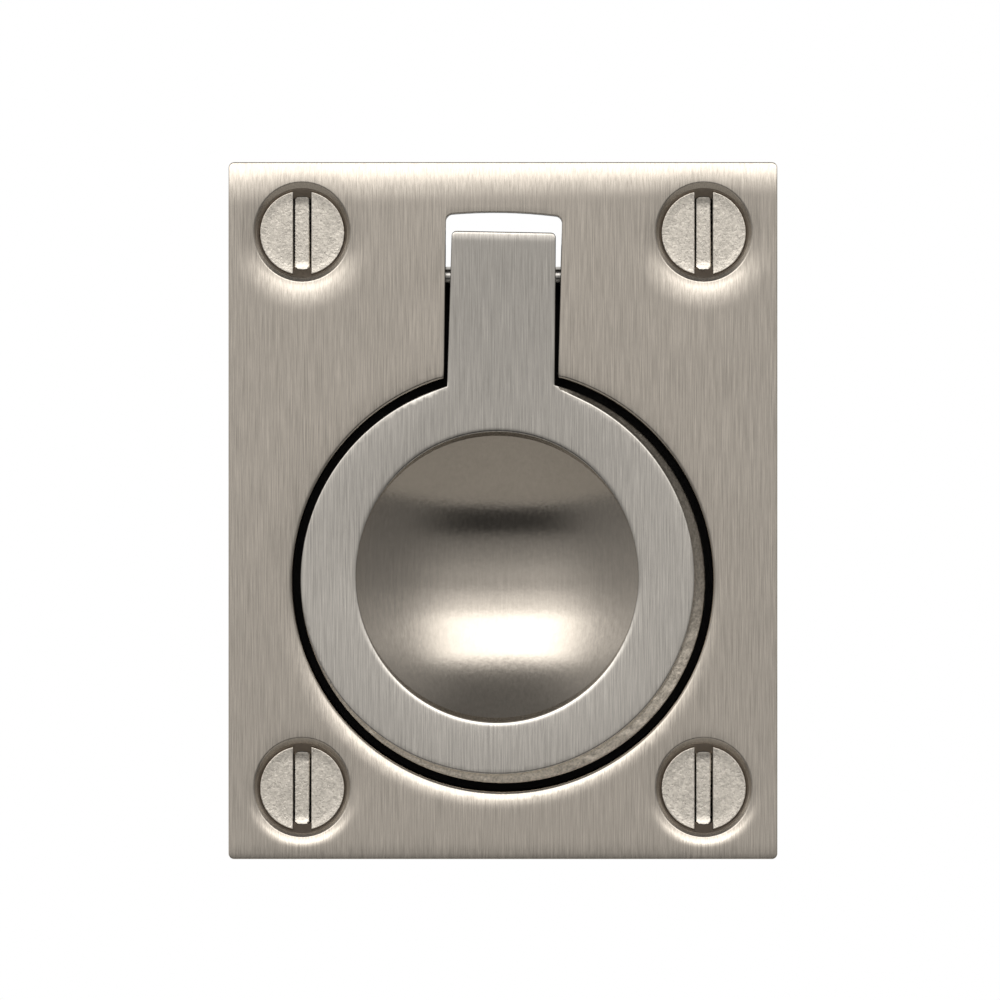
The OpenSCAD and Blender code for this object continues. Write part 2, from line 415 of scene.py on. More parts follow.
        numbers = [i for rim in rims for i in rim]
        numbers += self.add_points(np.column_stack([grid, height(grid)]))
        flat = np.vstack([edge, grid])
        spots = [tuple(spot) for spot in flat.tolist()]
        made = geometry.delaunay_2d_cdt(spots, bounds, [], 0, FILL_TOLERANCE, True)
        triangles = [face for face in made[2] if len(face) == 3]
        place = {source: spot for spot, sources in enumerate(made[3]) for source in sources}
        walls = {self.pair(place[a], place[b]) for a, b in bounds[: len(edge)]}
        rim_spots = {place[i] for i in range(len(edge))}
        for triangle in self.flood(triangles, walls, rim_spots):
            face = [made[3][spot] for spot in triangle]
            if all(face):
                self.add_faces([tuple(numbers[sources[0]] for sources in face)], finish)

    @staticmethod
    def pair(a: int, b: int) -> tuple[int, int]:
        """Names an edge by its two points, the lower first."""
        return (a, b) if a < b else (b, a)

    @classmethod
    def flood(
        cls, triangles: list[Row], walls: set[tuple[int, int]], rim: set[int]
    ) -> list[Row]:
        """Finds the triangles between the rims.

        Args:
            triangles: All triangles, those in holes too.
            walls: Edges along the rims.
            rim: Points of the rims.

        Returns:
            The triangles with a point off the rims, and those that join them without crossing a rim.
        """
        beside: dict[tuple[int, int], Row] = {}
        sides = [[cls.pair(t[i], t[(i + 1) % 3]) for i in range(3)] for t in triangles]
        for number, edges in enumerate(sides):
            for edge in edges:
                beside.setdefault(edge, []).append(number)
        reached = [not rim.issuperset(triangle) for triangle in triangles]
        queue = [number for number, inside in enumerate(reached) if inside]
        while queue:
            for edge in sides[queue.pop()]:
                for other in beside[edge]:
                    if edge not in walls and not reached[other]:
                        reached[other] = True
                        queue.append(other)
        return [triangle for triangle, inside in zip(triangles, reached) if inside]

    def repaint(self, choose: Callable[[Array], Array], finish: int, first: int = 0) -> None:
        """Gives a finish to faces.

        Args:
            choose: Tells from their middles which faces get it.
            finish: The finish.
            first: Number of the first face that may get it.
        """
        middles = np.array([self.at(face).mean(axis=0) for face in self.faces[first:]])
        for number in np.flatnonzero(choose(middles)):
            self.finishes[first + number] = finish

    @staticmethod
    def nearest(points: Array, others: Array) -> Array:
        """Gives each point's distance to the nearest of the others.

        Args:
            points: The points, a row each.
            others: The points to measure to.

        Returns:
            A distance for each point.
        """
        near = np.full(len(points), np.inf)
        for spot in others:
            near = np.minimum(near, (points[:, 0] - spot[0]) ** 2 + (points[:, 1] - spot[1]) ** 2)
        return np.sqrt(near)

    def to_object(self, name: str, finishes: list["MetalFinish"]) -> bpy.types.Object:
        """Makes the piece's object, standing upright in the frame.

        Args:
            name: The piece's name.
            finishes: The finishes that the faces' numbers stand for.

        Returns:
            The new object.
        """
        spots = np.array(self.points)
        spots = np.column_stack([spots[:, 0], -spots[:, 2], spots[:, 1]]) * MM
        mesh = bpy.data.meshes.new(name)
        mesh.from_pydata(spots.tolist(), [], self.faces)
        mesh.polygons.foreach_set("material_index", self.finishes)
        made = bmesh.new()
        made.from_mesh(mesh)
        bmesh.ops.delete(made, geom=[v for v in made.verts if not v.link_faces], context="VERTS")
        bmesh.ops.remove_doubles(made, verts=made.verts, dist=WELD * MM)
        bmesh.ops.recalc_face_normals(made, faces=made.faces)
        made.to_mesh(mesh)
        made.free()
        mesh.shade_smooth()
        mesh.set_sharp_from_angle(angle=SMOOTH_ANGLE)
        for finish in finishes:
            mesh.materials.append(finish.make())
        piece = bpy.data.objects.new(name, mesh)
        bpy.context.scene.collection.objects.link(piece)
        return piece


def face_facts(made: bmesh.types.BMesh) -> tuple[Array, Array]:
    """Gives the middles and the normals of a mesh's faces.

    Args:
        made: The mesh.

    Returns:
        The middles and the normals, a row for each face.
    """
    made.normal_update()
    middles = [face.calc_center_median() for face in made.faces]
    return np.array(middles), np.array([face.normal for face in made.faces])


def open_copy(
    node: str, drop: Choice, finish: Choice, cuts: tuple[float, ...] = ()
) -> tuple[Shell, list[Row]]:
    """Copies a CAD node without the faces that are made again.

    Args:
        node: The node's name.
        drop: Tells from middles and normals which faces go.
        finish: Gives the finish of the faces that stay.
        cuts: Heights at which faces are split, so that a finish can end there.

    Returns:
        The copy, and the rims that the dropped faces leave open.
    """
    made = bmesh.new()
    made.from_mesh(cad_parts[node].data)
    for vert in made.verts:
        x, y, z = vert.co
        vert.co = (x / MM, z / MM, -y / MM)
    bmesh.ops.remove_doubles(made, verts=made.verts, dist=CAD_WELD)
    for cut in cuts:
        parts = [*made.verts, *made.edges, *made.faces]
        bmesh.ops.bisect_plane(
            made, geom=parts, plane_co=(0, 0, cut), plane_no=(0, 0, 1), dist=ON_CUT
        )
    dropped = drop(*face_facts(made))
    gone = [f for f, out in zip(made.faces, dropped) if out or f.calc_area() < SLIVER]
    bmesh.ops.delete(made, geom=gone, context="FACES")
    for rim_edge in [e for e in made.edges if e.is_boundary and e.calc_length() > RIM_STEP]:
        count = math.ceil(rim_edge.calc_length() / RIM_STEP) - 1
        bmesh.ops.bisect_edges(made, edges=[rim_edge], cuts=count)
    made.verts.index_update()
    kinds = finish(*face_facts(made))
    shell = Shell([tuple(v.co) for v in made.verts])
    for face, kind in zip(made.faces, kinds):
        shell.add_faces([tuple(v.index for v in face.verts)], int(kind))
    rims, seen = [], set()
    for rim_edge in [e for e in made.edges if e.is_boundary]:
        if rim_edge.index in seen:
            continue
        rim, vert, edge = [], rim_edge.verts[0], rim_edge
        while edge is not None:
            seen.add(edge.index)
            rim.append(vert.index)
            vert = edge.other_vert(vert)
            edge = next((e for e in vert.link_edges if e.is_boundary and e.index not in seen), None)
        rims.append(shell.clear_rim(rim))
    made.free()
    return shell, rims


class Grain(Enum):
    """Direction of the marks that the last working left."""

    UPRIGHT = (1.0, 1.0, 0.0)
    EVEN = (1.0, 1.0, 1.0)


@dataclass(frozen=True)
class MetalFinish:
    """A metal surface with brush lines, pits and patches, whose sizes are in mm.

    Lines have a width, length, tone and depth, pits a width, tone and depth, and patches a width
    and tone. The fade is the height where a darkening starts, that where it is full, and the tone
    left there; on the filed edge it is painted shade. The spread is how far the roughness varies
    across the lines.
    """

    name: str
    colour: str
    roughness: float
    anisotropy: float
    grain: Grain
    lines: tuple[float, float, float, float]
    pits: tuple[float, float, float]
    patches: Pair
    fade: tuple[float, float, float] = (0.0, 1.0, 1.0)
    spread: Pair = (0.82, 1.18)

    @staticmethod
    def noise(tree: Tree, place: Socket, scale: float, detail: float, rough: float) -> Socket:
        """Adds a noise pattern and gives its value."""
        inputs = {"Vector": place, "Scale": scale, "Detail": detail, "Roughness": rough}
        return add(tree, "TexNoise", inputs).outputs["Fac"]

    def make(self) -> bpy.types.Material:
        """Makes the material, or gives the one that was made before.

        Returns:
            The material.
        """
        found = bpy.data.materials.get(self.name)
        if found:
            return found
        material = bpy.data.materials.new(self.name)
        material.use_nodes = True
        tree = material.node_tree
        tree.nodes.clear()
        place = add(tree, "TexCoord").outputs["Object"]
        line_w, line_l, line_tone, line_depth = self.lines
        pit_w, pit_tone, pit_depth = self.pits
        patch_w, patch_tone = self.patches
        across, along = 1 / (line_w * MM), 1 / (line_l * MM)
        scale = [across if share else along for share in self.grain.value]
        stretched = add(tree, "VectorMath", {0: place, 1: scale}, operation="MULTIPLY")
        lines = self.noise(tree, stretched.outputs[0], 1.0, 3.0, 0.65)
        pits = self.noise(tree, place, 1 / (pit_w * MM), 2.0, 0.6)
        patches = self.noise(tree, place, 1 / (patch_w * MM), 1.0, 0.5)
        tone: Any = 1 - line_tone - pit_tone - patch_tone
        for pattern, share in ((lines, line_tone), (pits, pit_tone), (patches, patch_tone)):
            tone = calc(tree, "MULTIPLY_ADD", pattern, 2 * share, tone)
        # Darkening over height: painted shade on the filed edge, a plain darker tone up the ring's
        # stem.
        low, high, least = self.fade
        up = add(tree, "SeparateXYZ", {0: place}).outputs["Z"]
        height_fade = add(
            tree, "MapRange",
            {"Value": up, "From Min": low * MM, "From Max": high * MM, "To Min": 1.0, "To Max": least},
        )
        tone = calc(tree, "MULTIPLY", tone, height_fade.outputs[0])
        plain = linear(self.colour)[:3]
        colour = add(tree, "VectorMath", {0: plain, "Scale": tone}, operation="SCALE")
        smooth, coarse = (self.roughness * share for share in self.spread)
        rough = add(
            tree, "MapRange",
            {"Value": lines, "From Min": 0.25, "From Max": 0.75, "To Min": smooth, "To Max": coarse},
        )
        deep = calc(tree, "MULTIPLY", lines, line_depth * MM)
        relief = calc(tree, "MULTIPLY_ADD", pits, pit_depth * MM, deep)
        bump = add(tree, "Bump", {"Strength": 1.0, "Distance": 1.0, "Height": relief})
        sideways = add(
            tree, "VectorTransform", {"Vector": (1.0, 0.0, 0.0)},
            vector_type="VECTOR", convert_from="OBJECT", convert_to="WORLD",
        )
        shader = add(
            tree, "BsdfPrincipled",
            {
                "Base Color": colour.outputs[0],
                "Metallic": 1.0,
                "Roughness": rough.outputs[0],
                "Anisotropic": self.anisotropy,
                "Tangent": sideways.outputs[0],
                "Normal": bump.outputs[0],
            },
        )
        add(tree, "OutputMaterial", {"Surface": shader.outputs[0]})
        return material


# Nickel plate over cast brass, linished upright on a fine belt: a soft grey with warm hairlines,
# which blurs reflections sideways much more than up and down.
BRUSHED_NICKEL = MetalFinish(
    "brushed_nickel_plate", "#bcb3a7", roughness=0.23, anisotropy=0.75, grain=Grain.UPRIGHT,
    lines=(0.10, 4.8, 0.57, 0.0005), pits=(0.9, 0.03, 0.0008), patches=(9.0, 0.06),
)
# The same plating on the ring, which was linished by itself: a little paler, and duller up its stem.
BRUSHED_RING = MetalFinish(
    "brushed_nickel_ring", "#c6c0b7", roughness=0.23, anisotropy=0.75, grain=Grain.UPRIGHT,
    lines=(0.10, 4.8, 0.54, 0.0005), pits=(0.8, 0.03, 0.0008), patches=(8.0, 0.06),
    fade=(-8.0, 18.0, 0.8),
)
# The bowl was buffed by hand, so casting marks still show where a reflection ends.
BUFFED_BOWL = MetalFinish(
    "buffed_nickel_bowl", "#bcb3a7", roughness=0.19, anisotropy=0.8, grain=Grain.UPRIGHT,
    lines=(0.2, 3.0, 0.14, 0.0005), pits=(0.5, 0.08, 0.004), patches=(6.0, 0.05),
)
# Where the ring was filed to clear the recess, the metal is coarse, and painted darker towards the
# hinge as the shade that the plate's edge casts there.
FILED_EDGE = MetalFinish(
    "filed_nickel_edge", "#d8cdbd", roughness=0.42, anisotropy=0.0, grain=Grain.EVEN,
    lines=(0.2, 0.2, 0.45, 0.016), pits=(0.4, 0.35, 0.025), patches=(2.0, 0.08),
    fade=(-17.0, 3.0, 0.25),
)
# Backs keep the skin of the sand casting under the plating.
CAST_NICKEL = MetalFinish(
    "cast_nickel_back", "#a9a196", roughness=0.42, anisotropy=0.0, grain=Grain.EVEN,
    lines=(0.35, 0.35, 0.05, 0.004), pits=(0.8, 0.07, 0.012), patches=(5.0, 0.06),
)
# Painted shade: a dull black for the recess and slot behind the ring and the screws' slot gutters.
BLACK_SHADE = MetalFinish(
    "black_painted_shade", "#1d1c1b", roughness=0.55, anisotropy=0.0, grain=Grain.EVEN,
    lines=(0.35, 0.35, 0.10, 0.004), pits=(0.7, 0.12, 0.012), patches=(4.0, 0.08),
)
# The drill left the countersinks dull; their deep part, next to the screws' heads, is painted darker
# as shade.
DARK_SINK_SHADE = MetalFinish(
    "sink_painted_shade", "#8f857a", roughness=0.45, anisotropy=0.0, grain=Grain.EVEN,
    lines=(0.2, 0.2, 0.16, 0.003), pits=(0.5, 0.16, 0.008), patches=(3.0, 0.1),
)
# Barrel-plated screws are tumbled, which leaves a fine even speckle.
SPECKLED_SCREW = MetalFinish(
    "tumbled_nickel_screw", "#d0c8bc", roughness=0.30, anisotropy=0.0, grain=Grain.EVEN,
    lines=(0.17, 0.17, 0.45, 0.012), pits=(0.3, 0.35, 0.02), patches=(3.0, 0.05),
)
# The pin is cut from drawn steel wire, bright along its length.
DRAWN_STEEL = MetalFinish(
    "drawn_steel_pin", "#b4b0aa", roughness=0.2, anisotropy=0.4, grain=Grain.EVEN,
    lines=(0.2, 0.2, 0.06, 0.001), pits=(0.5, 0.04, 0.001), patches=(3.0, 0.03),
)


@dataclass
class Backplate:
    """The cast plate with its recess, bowl, hinge slot and countersinks.

    Rolls are the widths of polished roll-overs, slopes are theirs at the edge, belts are the least
    share of a roll around its hole, and waves have a length, a depth and a seed.
    """

    face: float = 2.6
    half_h: float = 31.75
    top_roll: float = 3.55
    top_skew: float = -0.02
    bottom_roll: float = 1.7
    bottom_slope: float = 0.085
    edge_slope: float = 0.18
    recess_y: float = -6.4
    recess_r: float = 19.15
    recess_roll: float = 1.7
    recess_skew: float = -0.38
    recess_round: float = 6.7
    bowl_r: float = 22.475
    bowl_z: float = 15.175
    bowl_mouth: float = 15.5
    seat: float = -1.1
    sink_r: float = 4.6
    sink_lift: float = 0.08
    sink_stretch: float = 1.022
    sink_roll: Pair = (2.4, 0.97)
    sink_slope: Pair = (0.18, 0.33)
    # Height below which the countersinks get darker painted shade.
    sink_shade_top: float = 2.1
    screws: Pair = (18.3, 25.3)
    slot_half: float = 5.7
    slot_foot: float = 9.0
    pocket: float = -5.2
    edge_wear: float = 0.12
    recess_wear: float = 0.36
    sink_wear: float = 0.12
    recess_belt: float = 0.2
    sink_belt: float = 0.15
    belt_turn: Pair = (-0.5, 0.8)
    sink_rings: tuple[float, ...] = (0.3, 0.5, 0.75, 1.05, 1.4)
    face_waves: Waves = (15.0, 0.006, 4)
    bowl_waves: Waves = (9.0, 0.006, 7)
    face_step: float = 0.5
    bowl_step: float = 0.45

    def belted(self, across: Array, up: Array, least: float) -> Array:
        """Gives how strongly the belt rolled a hole's edge: most below it, where it came down."""
        below = -up / (np.hypot(across, up) + TINY)
        return least + (1 - least) * ease(below, *self.belt_turn)

    def height(self, xy: Array) -> Array:
        """Gives the height of the polished face with its roll-overs.

        Args:
            xy: Points, a row of x and y each.

        Returns:
            Their heights.
        """
        x, y = xy[:, 0], xy[:, 1]
        roll = self.top_roll + self.top_skew * x
        drop = fall(roll - (self.half_h - y), roll / self.edge_slope)
        drop += fall(self.bottom_roll - (self.half_h + y), self.bottom_roll / self.bottom_slope)
        up = y - self.recess_y
        reach = np.hypot(x, up)
        roll = self.recess_roll + self.recess_skew * x / reach
        near = fall(roll - np.maximum(reach - self.recess_r, 0), self.recess_round)
        drop += near * self.belted(x, up, self.recess_belt)
        across = np.abs(x) - self.screws[0]
        up = np.where(y > 0, y - self.screws[1], y + self.screws[1]) - self.sink_lift
        far = np.maximum(np.hypot(across, up / self.sink_stretch) - self.sink_r, 0)
        row = (y < 0).astype(int)
        roll = np.take(self.sink_roll, row)
        near = fall(roll - far, roll / np.take(self.sink_slope, row))
        drop += near * self.belted(across, up, self.sink_belt)
        return self.face - drop + ripple(xy, *self.face_waves)

    def bowl_height(self, xy: Array) -> Array:
        """Gives the height of the dished bowl.

        Args:
            xy: Points, a row of x and y each.

        Returns:
            Their heights.
        """
        reach = np.hypot(xy[:, 0], xy[:, 1] - self.recess_y)
        dish = self.bowl_z - np.sqrt(self.bowl_r**2 - reach**2)
        return dish + ripple(xy, *self.bowl_waves) * ease(self.bowl_mouth - reach, 0, 2)

    def creases(self) -> list[Array]:
        """Gives rings round the countersinks for the face to keep to.

        Returns:
            The rings, each a row of points.
        """
        ring = circle(121, True) * (1, self.sink_stretch)
        x, y = self.screws
        spots = [(a * x, b * y + self.sink_lift) for a in (-1, 1) for b in (-1, 1)]
        return [ring * (self.sink_r + step) + spot for spot in spots for step in self.sink_rings]

    def remade(self, middles: Array, normals: Array) -> Array:
        """Tells which CAD faces are made again: the face and the bowl.

        Args:
            middles: The faces' middles.
            normals: The faces' normals.

        Returns:
            True for each face that is made again.
        """
        front = (normals[:, 2] > 0.95) & (middles[:, 2] > 2.0)
        spot = middles - np.array([0, self.recess_y, self.bowl_z])
        bowl = (np.abs(np.linalg.norm(spot, axis=1) - self.bowl_r) < NEAR) & (normals[:, 2] > 0.3)
        return front | (bowl & (middles[:, 2] < self.seat))

    def finish(self, middles: Array, normals: Array) -> Array:
        """Gives the finish of the CAD faces that stay: brushed edges, painted shade in the recess,
        slot and deep countersinks, cast back.

        Args:
            middles: The faces' middles.
            normals: The faces' normals.

        Returns:
            The place of each face's finish.
        """
        x, y, z = middles.T
        recess = (np.hypot(x, y - self.recess_y) < self.recess_r + NEAR) & (z > self.seat - NEAR)
        slot = (np.abs(x) < self.slot_half) & (y > self.slot_foot) & (y < self.screws[1] + 2)
        sink = np.hypot(np.abs(x) - self.screws[0], np.abs(y) - self.screws[1]) < self.sink_r
        behind = (z < 0.01) | (normals[:, 2] < BACKWARD)
        # Painted shade: the deep part of each countersink, next to its head, gets a darker metal.
        kind = np.where(sink & (z < self.sink_shade_top), Side.SHADED_SINK, Side.FACE)
        kind = np.where(behind, Side.BACK, kind)
        # Painted shade: black on the recess and slot that lie behind the ring.
        black = (recess | slot) & (normals[:, 2] > BACKWARD) & (z > self.pocket)
        return np.where(black, Side.SHADED_RECESS, kind)

    def rim_wear(self, edge: Array) -> Array:
        """Gives the wear along the recess and slot's rim: wide on the recess, little in the slot.

        Args:
            edge: The rim's points, a row each.

        Returns:
            The wear at each point.
        """
        reach = np.hypot(edge[:, 0], edge[:, 1] - self.recess_y)
        round_part = np.abs(reach - self.recess_r) < 0.02
        wear = np.where(round_part, self.recess_wear, self.edge_wear)
        for _ in range(2):
            wear = (np.roll(wear, 1) + 2 * wear + np.roll(wear, -1)) / 4
        return wear

    def build(self) -> bpy.types.Object:
        """Builds the plate.

        Returns:
            The plate's object.
        """
        shell, rims = open_copy("backplate", self.remade, self.finish, (self.sink_shade_top,))
        bowl_rims = [rim for rim in rims if shell.at(rim)[:, 2].max() < 0]
        face_rims = [rim for rim in rims if rim not in bowl_rims]
        face_rims.sort(key=lambda rim: -np.ptp(shell.at(rim)[:, 1]))
        inner = []
        for number, rim in enumerate(face_rims):
            if number < 2:
                shell.snap(rim, (0, self.recess_y), self.recess_r)
                wear = self.rim_wear(shell.at(rim)) if number else self.edge_wear
                outer = number == 0
                inner.append(shell.round_rim(rim, self.height, wear, outer, 0.0, Side.FACE))
            else:
                middle = shell.at(rim).mean(axis=0)
                spot = tuple(map(math.copysign, self.screws, middle[:2]))
                shell.snap(rim, spot, self.sink_r)
                for i in rim:
                    x, y, z = shell.points[i]
                    y = spot[1] + (y - spot[1]) * self.sink_stretch + self.sink_lift
                    shell.points[i] = (x, y, z)
                wear, lean = self.sink_wear, math.pi / 4
                inner.append(shell.round_rim(rim, self.height, wear, False, lean, Side.FACE))
        shell.fill(inner, self.height, self.face_step, Side.FACE, self.creases())
        shell.fill(bowl_rims, self.bowl_height, self.bowl_step, Side.BOWL)
        finishes = [BRUSHED_NICKEL, BUFFED_BOWL, CAST_NICKEL, BLACK_SHADE, DARK_SINK_SHADE]
        plate = shell.to_object("plate", finishes)
        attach(plate, "backplate")
        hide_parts("backplate")
        return plate


@dataclass
class PullRing:
    """The ring that lies in the recess, with its stem and filed edge."""

    face: float = 2.6
    hole_r: float = 12.9
    hole_roll: Pair = (0.45, 1.4)
    hole_stretch: Pair = (0.995, 1.024)
    face_r: float = 17.95
    centre: Pair = (-0.527, -6.065)
    recess_y: float = -6.4
    rim_r: float = 18.45
    pin_y: float = 21.4
    lean: float = math.radians(-1.1)
    stem_half: float = 4.9
    tail: float = 4.0
    tail_roll: Pair = (0.9, 6.0)
    crown: float = 0.045
    lip: Pair = (0.15, 0.5)
    groove: Pair = (0.12, 0.9)
    bevel_slope: Pair = (0.18, 0.6)
    bevel_turn: Pair = (-15.5, -4.0)
    edge_wear: float = 0.12
    hole_wear: float = 0.1
    bevel_ends: float = 2.5
    ring_part: float = -20.0
    flat_sides: Pair = (4.0, 9.0)
    flat_end: float = 5.0
    face_waves: Waves = (13.0, 0.005, 5)
    file_marks: tuple[Waves, Waves] = ((1.2, 0.02, 11), (0.5, 0.008, 12))
    file_start: Pair = (0.15, 0.4)
    bevel_lines: Sequence[float] = (-0.15, -0.07, 0, 0.06, 0.12, 0.25, 0.4, 0.55, 0.7, 0.85, 1)
    hole_lines: Sequence[float] = (0.22, 0.34, 0.46)
    tail_lines: Sequence[float] = (0.92, 0.76, 0.6, 0.44, 0.28)
    tail_half: float = 4.8
    step: float = 0.36

    def from_pin(self, xy: Array) -> Array:
        """Turns points to the leaning stem's own frame about the pin.

        Args:
            xy: Points, a row of x and y each.

        Returns:
            Their places across and up the stem.
        """
        x, y = xy[:, 0], xy[:, 1] - self.pin_y
        turn, lift = math.cos(self.lean), math.sin(self.lean)
        return np.column_stack([x * turn + y * lift, y * turn - x * lift])

    def past_face(self, xy: Array) -> tuple[Array, Array]:
        """Gives how far points lie past the face's edge, and how fully the bevel is filed there.

        Args:
            xy: Points, a row of x and y each.

        Returns:
            The distances, and shares from 0 to 1.
        """
        past = np.hypot(*(xy - self.centre).T) - self.face_r
        across, up = self.from_pin(xy).T
        beside = ease(np.abs(across), self.stem_half, self.stem_half + self.bevel_ends)
        return past, np.maximum(beside, up < self.ring_part)

    def past_hole(self, xy: Array) -> Array:
        """Gives how far points lie past the finger hole's edge, which is taller than wide."""
        return np.hypot(*((xy - self.centre) / self.hole_stretch).T) - self.hole_r

    def height(self, xy: Array) -> Array:
        """Gives the height of the ring's face, with its crown, bevel, hole edge and tail.

        Args:
            xy: Points, a row of x and y each.

        Returns:
            Their heights.
        """
        hole = self.past_hole(xy)
        own = self.from_pin(xy)
        drop = fall(self.hole_roll[0] - np.maximum(hole, 0), self.hole_roll[1])
        drop += fall(own[:, 1] - self.tail + self.tail_roll[0], self.tail_roll[1])
        half = (self.face_r - self.hole_r) / 2
        flat = 1 - ease(np.abs(own[:, 0]), *self.flat_sides)
        flat *= ease(own[:, 1], self.ring_part, self.ring_part + self.flat_end)
        drop += self.crown * (np.clip(hole, 0, 2 * half) / half - 1) ** 2 * (1 - flat)
        past, beside = self.past_face(xy)
        (lip_w, lip_slope), (groove_w, groove_slope) = self.lip, self.groove
        low, high = self.bevel_slope
        cut = lip_slope * np.clip(past + lip_w, 0, lip_w) ** 2 / (2 * lip_w)
        cut += groove_slope * np.clip(past, 0, groove_w)
        slope = low + (high - low) * ease(xy[:, 1], *self.bevel_turn)
        cut += np.maximum(past - groove_w, 0) * slope
        coarse, fine = self.file_marks
        rough = ease(past, *self.file_start) * (ripple(xy, *coarse) + ripple(xy, *fine))
        return self.face - drop - (cut + rough) * beside + ripple(xy, *self.face_waves)

    def creases(self) -> list[Array]:
        """Gives lines along the bevel, the hole's edge and the tail's edge for the face to keep to.

        Returns:
            The lines, each a row of points.
        """
        ring = circle(561, True)
        lines = [ring * (self.face_r + step) + self.centre for step in self.bevel_lines]
        for step in self.hole_lines:
            lines.append(ring * (self.hole_r + step) * self.hole_stretch + self.centre)
        across = np.linspace(-self.tail_half, self.tail_half, 60)
        turn, lift = math.cos(self.lean), math.sin(self.lean)
        for back in self.tail_lines:
            up = self.tail - back
            x, y = across * turn - up * lift, self.pin_y + across * lift + up * turn
            lines.append(np.column_stack([x, y]))
        return lines

    def filed(self, middles: Array) -> Array:
        """Tells which faces lie on the filed bevel."""
        past, beside = self.past_face(middles[:, :2])
        return past * beside > 0.01

    def remade(self, middles: Array, normals: Array) -> Array:
        """Tells which CAD faces are made again: the face, its rolled edges, the bevel and its ends.

        Args:
            middles: The faces' middles.
            normals: The faces' normals.

        Returns:
            True for each face that is made again.
        """
        front = (normals[:, 2] > 0.5) & (middles[:, 2] > 0.9)
        spot = middles[:, :2] - np.array([0, self.recess_y])
        reach = np.linalg.norm(spot, axis=1)
        outward = np.abs(np.sum(normals[:, :2] * spot, axis=1)) / reach
        hole = np.hypot(*(middles[:, :2] - self.centre).T)
        step = (reach < self.rim_r) & (outward < 0.6) & (hole > self.hole_r + 1)
        return front | (step & (middles[:, 2] > 1.9) & (middles[:, 1] > 5))

    def finish(self, middles: Array, normals: Array) -> Array:
        """Gives the finish of the CAD faces that stay: cast behind, brushed elsewhere."""
        return np.where(normals[:, 2] < BACKWARD, Side.BACK, Side.FACE)

    def build(self) -> bpy.types.Object:
        """Builds the ring.

        Returns:
            The ring's object.
        """
        shell, rims = open_copy("pull_ring", self.remade, self.finish)
        kept = len(shell.faces)
        rims.sort(key=lambda rim: -np.ptp(shell.at(rim)[:, 1]))
        shell.snap(rims[0], (0, self.recess_y), self.rim_r)
        shell.snap(rims[1], self.centre, self.hole_r)
        (left, up), (wide, tall) = self.centre, self.hole_stretch
        for i in rims[1]:
            x, y, z = shell.points[i]
            shell.points[i] = (left + (x - left) * wide, up + (y - up) * tall, z)
        inner = [
            shell.round_rim(rim, self.height, wear, outer, 0.0, Side.FACE)
            for rim, wear, outer in zip(rims, (self.edge_wear, self.hole_wear), (True, False))
        ]
        shell.fill(inner, self.height, self.step, Side.FACE, self.creases())
        shell.repaint(self.filed, Side.BEVEL, kept)
        ring = shell.to_object("ring", [BRUSHED_RING, FILED_EDGE, CAST_NICKEL])
        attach(ring, "ring")
        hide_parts("pull_ring")
        return ring


@dataclass
class HingePin:
    """The wire pin through the cheeks, with its cut ends rounded."""

    y: float = 21.4
    z: float = -1.2
    radius: float = 0.9
    half_length: float = 7.7
    end_round: float = 0.22
    plain_half: float = 5.0
    rows: int = 6
    sides: int = 48

    def build(self) -> bpy.types.Object:
        """Turns the pin.

        Returns:
            The pin's object.
        """
        ends = []
        for a in np.linspace(0, math.pi / 2, self.rows):
            r = self.radius - self.end_round * (1 - math.sin(a))
            ends.append((r, self.half_length - self.end_round * (1 - math.cos(a))))
        plain = np.linspace(-self.plain_half, self.plain_half, self.rows)
        middle = [(self.radius, x) for x in plain]
        profile = [(r, -x) for r, x in ends] + middle + ends[::-1]
        shell, rows = Shell(), []
        for r, x in profile:
            ring = (self.y, self.z) + r * circle(self.sides)
            rows.append(shell.add_points(np.column_stack([np.full(self.sides, x), ring])))
        shell.band(rows, Side.FACE)
        for row in (rows[0], rows[-1]):
            shell.fan(row, [shell.points[row[0]][0], self.y, self.z], Side.FACE)
        pin = shell.to_object("pin", [DRAWN_STEEL])
        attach(pin, "backplate")
        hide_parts("hinge_pin")
        return pin


